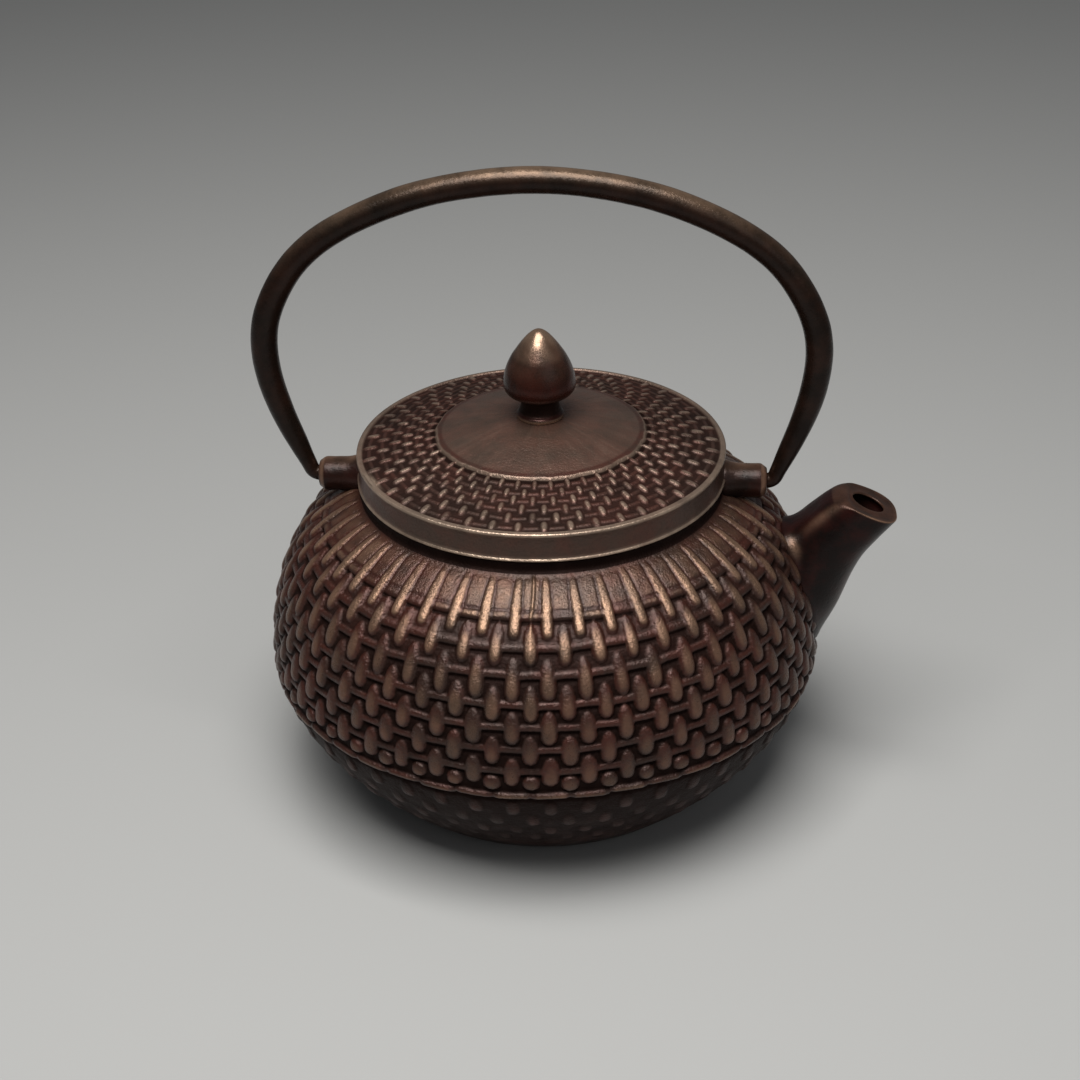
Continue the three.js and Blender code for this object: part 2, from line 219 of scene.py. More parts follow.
# ------------------------------------------------------------------ materials
def iron(name, dark, brown, red, worn_and_highlight, rough, metal, specular=0.5, mottle=(55, 260, 2200), bump=0.35, swell=0.8, pit=0.00018, has_attributes=True, wear_bias=0.0, coat=0.0):
    """Patinated cast iron: near-black in the hollows, partly patina and partly painted shade, brown to red-brown on the
    skin, and a lighter metal colour on high spots and edges, in places bare metal and in places a painted highlight.
    """
    m = bpy.data.materials.new(name)
    m.use_nodes = True
    nt = m.node_tree
    nt.nodes.clear()
    new, link = nt.nodes.new, nt.links.new

    def math_node(op, a, b=None, c=None, clamp=False):
        n = new("ShaderNodeMath")
        n.operation = op
        n.use_clamp = clamp
        for i, v in enumerate((a, b, c)):
            if v is None:
                continue
            if isinstance(v, (int, float)):
                n.inputs[i].default_value = v
            else:
                link(v, n.inputs[i])
        return n.outputs[0]

    def mix(fac, a, b):
        n = new("ShaderNodeMix")
        n.data_type = "RGBA"
        for i, v in ((0, fac), (6, a), (7, b)):
            if isinstance(v, tuple):
                n.inputs[i].default_value = (*v, 1) if len(v) == 3 else v
            elif isinstance(v, (int, float)):
                n.inputs[i].default_value = v
            else:
                link(v, n.inputs[i])
        return n.outputs[2]

    def ramp(value, lo, hi):
        n = new("ShaderNodeMapRange")
        n.interpolation_type = "SMOOTHSTEP"
        link(value, n.inputs[0])
        n.inputs[1].default_value, n.inputs[2].default_value = lo, hi
        n.inputs[3].default_value, n.inputs[4].default_value = 0.0, 1.0
        return n.outputs[0]

    coords = new("ShaderNodeTexCoord").outputs["Object"]

    def tex(scale, detail, rough_=0.55, distort=0.0):
        n = new("ShaderNodeTexNoise")
        link(coords, n.inputs["Vector"])
        n.inputs["Scale"].default_value = scale
        n.inputs["Detail"].default_value = detail
        n.inputs["Roughness"].default_value = rough_
        n.inputs["Distortion"].default_value = distort
        return n.outputs["Fac"]

    big, mid, fine = tex(mottle[0], 3.0, 0.6, 0.4), tex(mottle[1], 4.0, 0.6, 0.2), tex(mottle[2], 3.0, 0.65)
    tone = math_node("MULTIPLY_ADD", mid, 0.55, math_node("MULTIPLY", big, 0.45))
    skin = mix(ramp(tone, 0.38, 0.62), brown, red)
    if has_attributes:
        a = new("ShaderNodeAttribute")
        a.attribute_name = "relief_and_shade"
        b = new("ShaderNodeAttribute")
        b.attribute_name = "wear_and_highlight"
        relief_and_shade, wear_and_highlight = a.outputs["Fac"], b.outputs["Fac"]
        # hollows and low relief take the near-black colour: patina, plus painted shade in the crevices
        hollow_patina_and_shade = ramp(math_node("ADD", relief_and_shade, math_node("MULTIPLY_ADD", mid, 0.3, -0.15)), 0.12, 0.72)
        skin = mix(hollow_patina_and_shade, dark, skin)
        rub_and_highlight = math_node("ADD", wear_and_highlight, wear_bias)
    else:
        # no attributes: concave spots found by pointiness take the near-black colour as painted shade, convex edges get
        # the lighter metal colour
        point = new("ShaderNodeNewGeometry").outputs["Pointiness"]
        hollow_patina_and_shade = ramp(point, 0.44, 0.5)
        skin = mix(hollow_patina_and_shade, dark, skin)
        rub_and_highlight = ramp(point, 0.51, 0.56)
    speck = ramp(fine, 0.46, 0.66)
    # lighter metal where the wear value is high: rubbed spots and, on several parts, painted highlights
    rubbed_and_highlight = math_node("MULTIPLY", rub_and_highlight, math_node("MULTIPLY_ADD", math_node("MULTIPLY_ADD", mid, 0.6, math_node("MULTIPLY", fine, 0.4)), 2.2, -0.45, clamp=True), clamp=True)
    colour = mix(rubbed_and_highlight, skin, worn_and_highlight)
    colour = mix(math_node("MULTIPLY", speck, 0.22), colour, tuple(c * 0.35 for c in brown))
    shader = new("ShaderNodeBsdfPrincipled")
    link(colour, shader.inputs["Base Color"])
    rough_value = math_node("MULTIPLY_ADD", tone, rough[1] - rough[0], rough[0])
    rough_value = math_node("SUBTRACT", math_node("MULTIPLY_ADD", fine, 0.16, math_node("SUBTRACT", rough_value, 0.08)), math_node("MULTIPLY", rubbed_and_highlight, 0.06))
    if has_attributes:
        rough_value = math_node("ADD", rough_value, math_node("MULTIPLY", math_node("SUBTRACT", 1.0, hollow_patina_and_shade), 0.28), clamp=True)
    link(rough_value, shader.inputs["Roughness"])
    link(math_node("MULTIPLY_ADD", rubbed_and_highlight, metal[1] - metal[0], metal[0], clamp=True), shader.inputs["Metallic"])
    if has_attributes:
        link(math_node("MULTIPLY_ADD", hollow_patina_and_shade, specular * 0.8, specular * 0.2), shader.inputs["Specular IOR Level"])
    else:
        shader.inputs["Specular IOR Level"].default_value = specular
    if coat:
        shader.inputs["Coat Weight"].default_value = coat
        shader.inputs["Coat Roughness"].default_value = 0.3
    b1 = new("ShaderNodeBump")
    b1.inputs["Strength"].default_value = bump
    b1.inputs["Distance"].default_value = pit
    link(fine, b1.inputs["Height"])
    b2 = new("ShaderNodeBump")
    b2.inputs["Strength"].default_value = bump * swell
    b2.inputs["Distance"].default_value = 0.0003
    link(mid, b2.inputs["Height"])
    link(b1.outputs[0], b2.inputs["Normal"])
    link(b2.outputs[0], shader.inputs["Normal"])
    out = new("ShaderNodeOutputMaterial")
    link(shader.outputs[0], out.inputs[0])
    return m


def srgb(r, g, b):
    return tuple((c / 255 / 12.92) if c / 255 <= 0.04045 else ((c / 255 + 0.055) / 1.055) ** 2.4 for c in (r, g, b))


# near-black for the hollows of every iron: patina plus painted crevice shade
DARK_PATINA_AND_SHADE = srgb(27, 13, 9)
pot_mat = iron("pot_iron", DARK_PATINA_AND_SHADE, srgb(55, 37, 30), srgb(70, 35, 26), srgb(186, 150, 122), (0.22, 0.38), (0.45, 0.84), specular=0.55, bump=0.8, swell=0.22, mottle=(55, 280, 2400), pit=0.0002)
lid_mat = iron("lid_iron", DARK_PATINA_AND_SHADE, srgb(69, 52, 44), srgb(80, 48, 39), srgb(206, 182, 160), (0.28, 0.44), (0.5, 0.85), specular=0.45, bump=0.6, swell=0.4)
# spout and lugs: browns darkened far below the pot's, as painted shade on these dark parts
smooth_mat = iron("smooth_iron", DARK_PATINA_AND_SHADE, srgb(15, 7, 6), srgb(40, 12, 9), srgb(186, 146, 120), (0.25, 0.37), (0.35, 0.85), specular=0.25, bump=0.3)
knob_mat = iron("knob_iron", DARK_PATINA_AND_SHADE, srgb(33, 16, 11), srgb(58, 20, 12), srgb(196, 164, 138), (0.22, 0.32), (0.55, 0.9), specular=0.45, bump=0.2)
# handle: browns darkened to near-black, as painted shade on its sides
bail_mat = iron("bail_iron", DARK_PATINA_AND_SHADE, srgb(15, 9, 7), srgb(31, 14, 9), srgb(176, 146, 120), (0.22, 0.34), (0.35, 0.88), specular=0.22, bump=0.32)
rivet_mat = iron("rivet_iron", DARK_PATINA_AND_SHADE, srgb(74, 58, 48), srgb(86, 56, 44), srgb(150, 124, 106), (0.34, 0.5), (0.5, 0.85), bump=0.3, has_attributes=False)
inside_mat = iron("pot_inside_iron", DARK_PATINA_AND_SHADE, srgb(44, 32, 28), srgb(54, 34, 28), srgb(110, 88, 76), (0.5, 0.68), (0.15, 0.5), bump=0.6)


# ------------------------------------------------------------------- pot body
PER = 24                                   # samples round per column pitch
N_POT = COLUMNS * PER
s_ctrl = polyline_s(POT_WALL)
path, at = smooth_path(POT_WALL[:17], 16)
path_s = np.interp(at, np.arange(17), s_ctrl[:17])
# the neck: a short fillet from the shoulder into the upright band, then a small rounded top edge
neck = [(30.2, 52.7), (29.75, 52.92), (29.55, 53.2), (29.5, 53.6), (29.5, 54.25), (29.42, 54.47), (29.2, 54.6)]
neck_path, neck_at = smooth_path(neck, 5)
S_NECK0 = s_ctrl[16]
neck_s = S_NECK0 + np.concatenate([[0], np.cumsum(np.linalg.norm(np.diff(neck_path, axis=0), axis=1))])


def pot_profile(s):
    s = np.asarray(s, float)
    r = np.interp(s, np.concatenate([path_s, neck_s[1:]]), np.concatenate([path[:, 0], neck_path[1:, 0]]))
    z = np.interp(s, np.concatenate([path_s, neck_s[1:]]), np.concatenate([path[:, 1], neck_path[1:, 1]]))
    return r, z


rows = np.concatenate([
    np.linspace(0, 4, 9)[:-1], np.arange(4, 27, 0.42), np.arange(27, S_NECK0 + 0.01, 0.21),
    neck_s[1:-1:2], neck_s[-1:],
])
rows = np.unique(np.round(rows, 4))
R0, Z0 = pot_profile(rows)
# outward normals of the profile
e = 0.25
ra, za = pot_profile(np.clip(rows - e, 0, neck_s[-1]))
rb, zb = pot_profile(np.clip(rows + e, 0, neck_s[-1]))
tl = np.hypot(rb - ra, zb - za)
NR, NZ = (zb - za) / tl, -(rb - ra) / tl

theta = 360.0 * np.arange(N_POT) / N_POT
TH, S = np.meshgrid(theta, rows)
RR = np.broadcast_to(R0[:, None], TH.shape)
PITCH = 360.0 / COLUMNS
HALF = math.radians(PITCH / 2) * RR                     # half pitch, mm
xyz = np.stack([RR * np.cos(np.radians(TH)), RR * np.sin(np.radians(TH)), np.broadcast_to(Z0[:, None], TH.shape)], -1)

rng = np.random.default_rng(480)


def column(offset):
    """Column number and arc distance from its centre line, mm."""
    q = (TH - FIRST_COLUMN - offset) / PITCH
    k = np.round(q).astype(int)
    return k % COLUMNS, (q - k) * PITCH * math.pi / 180 * RR


KA, XA = column(0.0)
KB, XB = column(PITCH / 2)
grain_w = HALF * np.interp(S, [20, 31, 40, 48, 53, 58], [0.44, 0.47, 0.465, 0.45, 0.43, 0.42])
floor_level = np.interp(S, [0, 4, 12, 24, 28.6, 30, 36, 45, 52, 57, 59.2, 60, 64, 65.2, 66.2], [-0.06, -0.36, -0.7, -0.84, -0.9, -0.95, -0.95, -0.88, -0.76, -0.62, -0.5, -0.34, -0.31, -0.28, -0.1])
H = floor_level.copy()
top_of = H.copy()


def grains(K, X, spans, seed, level=0.0, width=1.0, drop=0.0):
    """Long beads along the columns: each span is (low s, high s)."""
    global H
    r = np.random.default_rng(seed)
    for lo, hi in spans:
        jl = r.uniform(-0.16, 0.16, COLUMNS)[K]
        jh = r.uniform(-0.2, 0.2, COLUMNS)[K]
        jx = r.uniform(-0.1, 0.1, COLUMNS)[K]
        jw = r.uniform(0.93, 1.06, COLUMNS)[K]
        jt = r.uniform(-0.1, 0.0, COLUMNS)[K]
        tilt = r.uniform(-0.035, 0.035, COLUMNS)[K]
        a, b = lo + jl, hi + jh
        v = (2 * S - a - b) / (b - a)
        x = (X - jx - tilt * (S - (a + b) / 2)) / (grain_w * width * jw * np.where(v > 0, 1 - 0.18 * np.clip(v, 0, 1) ** 1.5, 1.0))
        rho = np.sqrt(np.abs(x) ** 2.1 + np.abs(v) ** np.where(v > 0, 2.9, 4.0))
        inside = rho < 1
        dome = np.where(inside, (1 - np.clip(rho, 0, 1) ** 2.5) ** 0.58, 0)
        peak = level + jt - 0.24 * np.clip(v, -0.3, 1) - 0.08 + drop
        h = floor_level + (peak - floor_level) * dome
        H = np.where(inside, np.maximum(H, h), H)


def bars(K, X, s_bar, seed, level, half=0.66, groove=0.34):
    """Cross strands: a raised bar between two neighbouring columns with a dark slot just under it."""
    global H
    r = np.random.default_rng(seed)
    js = r.uniform(-0.13, 0.13, COLUMNS)[K]
    slope = r.uniform(-0.05, 0.05, COLUMNS)[K]
    jl = r.uniform(-0.07, 0.05, COLUMNS)[K]
    sag = 0.12 * (X / HALF) ** 2
    d = (S - s_bar - js - slope * X + sag) / half
    near = np.abs(X) < HALF * 0.99
    slot = np.exp(-(((S - s_bar - js - slope * X + 1.0) / 0.34) ** 2)) * groove
    H = np.where(near, H - slot, H)
    shape = np.where(np.abs(d) < 1, (1 - np.clip(np.abs(d), 0, 1) ** 2.2) ** 0.6, 0)
    h = floor_level + (level + jl - floor_level) * shape
    H = np.where(near & (np.abs(d) < 1), np.maximum(H, h), H)


A_BARS, B_BARS = [53.94, 44.9, 37.55], [58.74, 49.6, 41.3, 33.95]
for i, sb in enumerate(A_BARS):
    bars(KA, XA, sb, 11 + i, float(np.interp(sb, [35, 45, 55], [-0.54, -0.46, -0.38])))
for i, sb in enumerate(B_BARS):
    bars(KB, XB, sb, 31 + i, float(np.interp(sb, [35, 45, 55, 59], [-0.54, -0.46, -0.38, -0.25])), groove=0.36)
# low, half-closed weave under the ring
low_a, low_b = [(24.0, 27.9), (15.6, 19.6), (7.4, 11.2)], [(19.8, 23.8), (11.5, 15.3), (4.6, 7.2)]
grains(KA, XA, low_a, 71, level=-0.4, width=0.9)
grains(KB, XB, low_b, 72, level=-0.42, width=0.9)
# the beads of the weave
grains(KA, XA, [(45.4, 52.4), (38.4, 44.0), (31.2, 36.4)], 51)
grains(KB, XB, [(50.8, 57.75), (42.3, 48.0), (34.8, 40.0), (30.5, 33.1)], 52)
# ribs running down from the neck, each with a shallow groove along both sides
rk = np.random.default_rng(61)
end = 55.0 + rk.uniform(-0.2, 0.2, COLUMNS)[KA]
jx = rk.uniform(-0.09, 0.09, COLUMNS)[KA]
rib_w = np.interp(S, [54.6, 55.6, 57.3, 60, 63, 65.4], [0.72, 0.92, 0.98, 0.8, 0.6, 0.45])
rib_top = np.interp(S, [54.6, 56.4, 58, 61, 64.2, 65.4, 66.2], [-0.16, -0.04, -0.06, -0.12, -0.16, -0.2, -0.16])
nose = np.where(S < end + 1.1, np.sqrt(np.clip(1 - ((end + 1.1 - S) / 1.1) ** 2, 0, 1)), 1.0)
xr = (XA - jx * np.clip((64 - S) / 6, 0, 1)) / (rib_w * (0.55 + 0.45 * nose))
rib_on = (S > end) & (S < 66.4) & (np.abs(xr) < 1)
side = np.exp(-(((np.abs(XA) - rib_w - 0.22) / 0.2) ** 2)) * step01(S, 55.5, 57.5) * (1 - step01(S, 64.8, 65.8))
H = np.where(S > 54, H - 0.1 * side, H)
rib_h = floor_level + (rib_top - floor_level) * (1 - np.clip(np.abs(xr), 0, 1) ** 2.4) ** 0.6 * nose
H = np.where(rib_on, np.maximum(H, rib_h), H)
# panels between the ribs are slightly crowned
H = H + 0.07 * (1 - np.clip(XB / HALF, -1, 1) ** 2) * step01(S, 59.3, 60.2) * (1 - step01(S, 64.8, 65.8))
# ring of broken segments low on the belly
rr = np.random.default_rng(81)
ring_s = 29.35 + rr.uniform(-0.2, 0.2, COLUMNS)[KA] + rr.uniform(-0.07, 0.07, COLUMNS)[KA] * XA
ring_l = -0.12 + rr.uniform(-0.16, 0.0, COLUMNS)[KA] - 0.3 * np.clip(np.abs(XA) / HALF - 0.72, 0, 1) / 0.28
rd = (S - ring_s) / 0.66
rh = floor_level + (ring_l - floor_level) * np.where(np.abs(rd) < 1, (1 - np.clip(np.abs(rd), 0, 1) ** 2.2) ** 0.6, 0)
H = np.where(np.abs(rd) < 1, np.maximum(H, rh), H)
H = H - 0.3 * np.exp(-(((S - ring_s + 1.15) / 0.45) ** 2)) * (S > 27)
# parting line of the mould: a thin fin in front, a fainter one behind
for angle, strength in ((-88.4, 1.0), (91.6, 0.45)):
    d = (TH - angle + 180) % 360 - 180
    wig = 0.22 * noise(np.stack([S, S * 0, S * 0], -1), 4.2, 6) + 0.1 * noise(np.stack([S, S * 0, S * 0], -1), 1.5, 5)
    fx = (np.radians(d) * RR - wig) / 0.2
    fin = np.exp(-np.clip(np.abs(fx), 0, 6) ** 2.2)
    amount = np.interp(S, [3, 20, 33, 45, 50, 55.5, 58.5, 60, 65.2, 66.0], [0.0, 0.05, 0.07, 0.07, 0.1, 0.12, 0.3, 0.34, 0.36, 0.1])
    H = H + strength * fin * amount
# the same figure everywhere, roughened as sand-cast iron is
cast = 0.04 * noise(xyz, 2.6, 1) + 0.022 * noise(xyz, 1.1, 2) + 0.016 * noise(xyz, 0.55, 3)
H = H + cast * step01(S, 0.5, 4) * (1 - step01(S, 65.4, 66.2)) + 0.05 * noise(xyz, 9.0, 4) * step01(S, 2, 8) * (1 - step01(S, 64, 66))
# the plain part under the ring is rougher than the weave
H = H + (0.085 * noise(xyz, 2.1, 7) + 0.04 * noise(xyz, 0.9, 8)) * step01(S, 3, 8) * (1 - step01(S, 26, 28.4))
fade = step01(S, 0.0, 2.0) * (1 - step01(S, 65.6, 66.5))
H = np.where(S > 65.6, H * fade, H * step01(S, 0.0, 1.0))

# relief value: depth of the weave, plus painted shade: lowered under the ring so the belly is darker towards the
# bottom, and set low on the neck, partly patina and partly painted shade under the lid rim
relief_and_shade = np.clip((H + 0.98) / 0.72, 0, 1) * np.interp(S, [0, 3, 27, 29.5], [0.7, 0.62, 0.62, 1.0])
relief_and_shade = np.where(S > 65.9, 0.2, relief_and_shade)
relief_and_shade = np.where(S < 3, 0.75, relief_and_shade)
# lighter rubbed colour on the raised crests, strongest on the ring and the upper shoulder, partly real wear and partly
# painted highlight; upward-facing faces get more as a painted highlight from light above
up = np.clip(NZ[:, None] * 0.5 + 0.75, 0, 1)
wear_and_highlight = step01(H, -0.34, -0.04) * np.interp(S, [20, 27, 29, 31, 34, 45, 50, 58, 64, 65.6, 66], [0.04, 0.12, 0.85, 0.26, 0.22, 0.3, 0.45, 0.8, 0.55, 0.15, 0.0]) * up
wear_and_highlight = np.clip(wear_and_highlight, 0, 1)
RADIUS = RR + H * NR[:, None]
HEIGHT = np.broadcast_to(Z0[:, None], TH.shape) + H * NZ[:, None]
HEIGHT = np.maximum(HEIGHT, 0.0)

rings = [{"n": 1, "r": 0.0, "z": 0.0, "relief_and_shade": 0.7}]
for r in (6.0, 13.0, 19.0):
    rings.append({"n": 96, "r": r, "z": 0.0, "relief_and_shade": 0.7})
for r in (23.0, 26.5, 28.4):
    rings.append({"n": 288, "r": r, "z": 0.0, "relief_and_shade": 0.7})
for i in range(len(rows)):
    rings.append({"n": N_POT, "r": RADIUS[i], "z": HEIGHT[i], "relief_and_shade": relief_and_shade[i], "wear_and_highlight": wear_and_highlight[i]})
N_IN = 288
for r in (28.3, 27.2):
    rings.append({"n": N_POT if r > 28 else N_IN, "r": r, "z": 54.6, "relief_and_shade": 0.5, "wear_and_highlight": 0.2})
mouth = [(26.8, 54.5), (26.63, 54.3), (26.6, 53.9)]
for r, z in mouth:
    rings.append({"n": N_IN, "r": r, "z": z, "relief_and_shade": 0.8, "wear_and_highlight": 0.3})
inner, _ = smooth_path(POT_INSIDE, 5)
a_in = 2 * math.pi * np.arange(N_IN) / N_IN
first_inner = len(rings)
for r, z in inner:
    p = np.stack([r * np.cos(a_in), r * np.sin(a_in), np.full(N_IN, z)], -1)
    dd = 0.12 * noise(p, 4.0, 21) + 0.05 * noise(p, 1.6, 22)
    flat = float(z > 3.6)
    rings.append({"n": N_IN, "r": r + dd * flat, "z": z + (1 - flat) * dd, "relief_and_shade": 0.45 + 0.3 * dd, "wear_and_highlight": 0.05})
rings.append({"n": 72, "r": 6.0, "z": 3.4, "relief_and_shade": 0.45})
rings.append({"n": 1, "r": 0.0, "z": 3.4, "relief_and_shade": 0.45})
pot = revolve("pot_body_cast", rings)
pot.data.materials.append(pot_mat)
pot.data.materials.append(inside_mat)

# port behind the spout: drop the faces inside it on both skins and join the two edges
co = np.zeros(len(pot.data.vertices) * 3, np.float32)
pot.data.vertices.foreach_get("co", co)
co = co.reshape(-1, 3) / MM
bm = bmesh.new()
bm.from_mesh(pot.data)
bm.faces.ensure_lookup_table()
ZP = PORT_HEIGHT
gone, marked = [], []
for f in bm.faces:
    c = f.calc_center_median() / MM
    if c.x > 30 and (c.y * c.y + (c.z - ZP) ** 2) < PORT_RADIUS**2:
        gone.append(f)
edge_faces = set(gone)
rim = {e for f in gone for e in f.edges if any(g not in edge_faces for g in e.link_faces)}
bmesh.ops.delete(bm, geom=gone, context="FACES")
rim = [e for e in rim if e.is_valid]
loops_v = {v for e in rim for v in e.verts}
for v in loops_v:
    y, z = v.co.y / MM, v.co.z / MM - ZP
    l = math.hypot(y, z) or 1.0
    x = v.co.x / MM
    rad = math.hypot(x, v.co.y / MM)
    y2, z2 = y / l * PORT_RADIUS, z / l * PORT_RADIUS
    v.co = Vector((math.sqrt(max(rad * rad - y2 * y2, 1)), y2, z2 + ZP)) * MM
bmesh.ops.bridge_loops(bm, edges=rim)
bmesh.ops.recalc_face_normals(bm, faces=bm.faces)
lone = [v for v in bm.verts if not v.link_faces]
bmesh.ops.delete(bm, geom=lone, context="VERTS")
for f in bm.faces:
    f.smooth = True
    c = f.calc_center_median() / MM
    rad = math.hypot(c.x, c.y)
    if c.z > 3.0 and c.z < 54.2 and rad < np.interp(c.z, [3, 4.2, 7, 12, 17, 24, 33, 39, 44, 48, 50, 51.4, 54], [28.5, 30, 34.0, 39.2, 42.6, 44.6, 43.9, 42.0, 39.0, 34.6, 30.6, 28.0, 27.2]):
        f.material_index = 1
bm.to_mesh(pot.data)
bm.free()
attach(pot, "pot")
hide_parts("pot_body")


# ---------------------------------------------------------------------- spout
def interp_list(values, t):
    return np.interp(np.clip(t, 0, 1) * (len(values) - 1), np.arange(len(values)), values)


up_path, up_at = smooth_path(SPOUT_UPPER, 40)
lo_path, lo_at = smooth_path(SPOUT_LOWER, 40)
SIDES = 128
fine_t = np.linspace(0, 1, 201)


def spout_axis(t):
    t = np.asarray(t, float)
    k = np.clip(t, 0, 1) * 5
    a = np.stack([np.interp(k, up_at, up_path[:, 0]), np.interp(k, up_at, up_path[:, 1])], -1)
    b = np.stack([np.interp(k, lo_at, lo_path[:, 0]), np.interp(k, lo_at, lo_path[:, 1])], -1)
    return a, b


ang = 2 * math.pi * np.arange(SIDES) / SIDES           # 0 is the upper, pot side


# half section with a flattened top and a soft ridge on each side of it
RIDGE = np.array([(0, 1.0), (0.31, 0.99), (0.57, 0.94), (0.74, 0.82), (0.87, 0.59), (0.965, 0.3), (1, 0)])
ridge_fine, ridge_at = smooth_path(RIDGE, 20)
ridge_deg = np.interp(ridge_at, np.arange(7), [0, 15, 29, 40, 55, 73, 90])


def section(t, shrink_u=0.0, shrink_w=0.0, ridge=0.0, square=2.0):
    """Points of one section (SIDES, 3) at t, pulled in by that much."""
    a, b = spout_axis(t)
    c, u = (a + b) / 2, (a - b) / 2
    half = np.linalg.norm(u)
    un = u / half
    w = interp_list(SPOUT_HALF_WIDTH, t)
    cu, sw = (np.sign(c_) * np.abs(c_) ** (2 / square) for c_ in (np.cos(ang), np.sin(ang)))
    deg = np.degrees(np.arccos(np.clip(np.cos(ang), -1, 1)))
    ry, ru = np.interp(deg, ridge_deg, ridge_fine[:, 0]), np.interp(deg, ridge_deg, ridge_fine[:, 1])
    cu = np.where(cu > 0, cu * (1 - ridge) + ru * ridge, cu) * (half - shrink_u)
    sw = np.where(np.cos(ang) > 0, sw * (1 - ridge) + np.sign(sw) * ry * ridge, sw) * (w - shrink_w)
    return np.stack([c[0] + un[0] * cu, sw, c[1] + un[1] * cu], -1), un


def inside_pot(p):
    """Depth below the pot's outer envelope at points p, mm, positive inside."""
    z = p[..., 2]
    r = np.interp(z, Z0[: len(R0) - 6], R0[: len(R0) - 6])
    return r - np.hypot(p[..., 0], p[..., 1])


secs_out, meta = [], []
for t in fine_t:
    p, un = section(t, ridge=float(np.interp(t, [0, 0.3, 0.55, 0.8, 1], [0.0, 0.75, 1.0, 0.95, 0.6])), square=float(np.interp(t, [0.5, 0.8, 1], [2.0, 2.25, 2.6])))
    secs_out.append(p)
secs_out = np.array(secs_out)
# each line of the outer skin starts where it is 1.6 mm deep in the pot's wall
depth = inside_pot(secs_out)
starts = np.zeros(SIDES)
for j in range(SIDES):
    below = np.where(depth[:, j] < 1.7)[0]
    starts[j] = fine_t[max(below[0] - 1, 0)] if len(below) else 0.0
NS = 64
q = np.linspace(0, 1, NS) ** 0.9
tt = starts[None, :] + (1 - starts[None, :]) * q[:, None]
outer = np.zeros((NS, SIDES, 3))
for j in range(SIDES):
    for k in range(3):
        outer[:, j, k] = np.interp(tt[:, j], fine_t, secs_out[:, j, k])
# root flare: widen a little where the skin leaves the wall, as a cast fillet
d_env = -inside_pot(outer)
flare = 0.6 * np.exp(-np.clip(d_env + 0.2, 0, 9) / 0.9) * (d_env > -1.4)
centre_line = outer.mean(1, keepdims=True)
outward = outer - centre_line
outward /= np.maximum(np.linalg.norm(outward, axis=-1, keepdims=True), 1e-6)
outer = outer + outward * flare[..., None] * step01(1 - q, 0.35, 0.8)[:, None, None]
outer += outward * (0.05 * noise(outer, 5.0, 91) + 0.02 * noise(outer, 1.8, 92))[..., None]
# rim: a soft bend from the top face into the mouth, a crisp edge in front
a1, b1 = spout_axis(1.0)
c1 = (a1 + b1) / 2
un = (a1 - b1) / np.linalg.norm(a1 - b1)
axis1 = np.array([-un[1], 0, un[0]])
if axis1[2] < 0:
    axis1 = -axis1
mouth_c = np.array([c1[0], 0, c1[1]])
end_ring = outer[-1].copy()
rel = end_ring - mouth_c
rel -= (rel @ axis1)[:, None] * axis1
end_ring = mouth_c + rel
rad_len = np.linalg.norm(rel, axis=1)
rad_dir = rel / rad_len[:, None]
bore_half, bore_w = 2.75, 2.4
fillet = 0.3 + 1.3 * step01(np.cos(ang), 0.45, 0.95)
trimmed = outer.copy()
for j in range(SIDES):
    line = outer[:, j]
    length = np.concatenate([[0], np.cumsum(np.linalg.norm(np.diff(line, axis=0), axis=1))])
    at_len = np.linspace(0, length[-1] - fillet[j], NS)
    for k in range(3):
        trimmed[:, j, k] = np.interp(at_len, length, line[:, k])
outer = trimmed
rim_rows = []
b_end = end_ring - rad_dir * fillet[:, None]
for g in np.linspace(0, 1, 10)[1:]:
    rim_rows.append(outer[-1] * (1 - g) ** 2 + end_ring * 2 * g * (1 - g) + b_end * g * g)
bore_ring = mouth_c + np.stack([un[0] * np.cos(ang) * bore_half, np.sin(ang) * bore_w, un[1] * np.cos(ang) * bore_half], -1)
flat_start = rim_rows[-1]
lip = []
for f in (0.25, 0.5, 0.75):
    dish = 0.14 * math.sin(math.pi * f)
    lip.append(flat_start * (1 - f) + (bore_ring + (bore_ring - mouth_c) * 0.08) * f - axis1 * dish)
bore_dir = (bore_ring - mouth_c) / np.linalg.norm(bore_ring - mouth_c, axis=1, keepdims=True)
for f in np.linspace(0, 1, 5):
    phi = f * math.pi / 2
    lip.append(bore_ring + bore_dir * 0.28 * (1 - math.sin(phi)) - axis1 * 0.28 * (1 - math.cos(phi)))
# bore: down to a round port of the pot's own size
bore_rows = []
bt = np.linspace(1, 0.0, 30)
for t in bt[1:]:
    pw, un_t = section(t, interp_list(SPOUT_WALL, t), interp_list(SPOUT_SIDE_WALL, t))
    bore_rows.append(pw)
bore_rows = np.array(bore_rows)
bdepth = inside_pot(bore_rows)
ends = []
NB = 22
bore_final = np.zeros((NB, SIDES, 3))
for j in range(SIDES):
    line = np.vstack([lip[-1][j], bore_rows[:, j]])
    dline = np.concatenate([[-9], bdepth[:, j]])
    hit = np.where(dline > 1.9)[0]
    last = hit[0] if len(hit) else len(line) - 1
    qq = np.linspace(0, last, NB + 1)[1:]
    for k in range(3):
        bore_final[:, j, k] = np.interp(qq, np.arange(len(line)), line[:, k])
port_ring = np.stack([np.zeros(SIDES), np.sin(ang) * (PORT_RADIUS + 0.25), PORT_HEIGHT + np.cos(ang) * (PORT_RADIUS + 0.25)], -1)
port_ring[:, 0] = np.sqrt(np.maximum((np.interp(port_ring[:, 2], Z0[:-6], R0[:-6]) - 1.7) ** 2 - port_ring[:, 1] ** 2, 1))
for i in range(NB):
    f = float(step01(np.array((i + 1) / NB), 0.45, 1.0))
    bore_final[i] = bore_final[i] * (1 - f) + port_ring * f
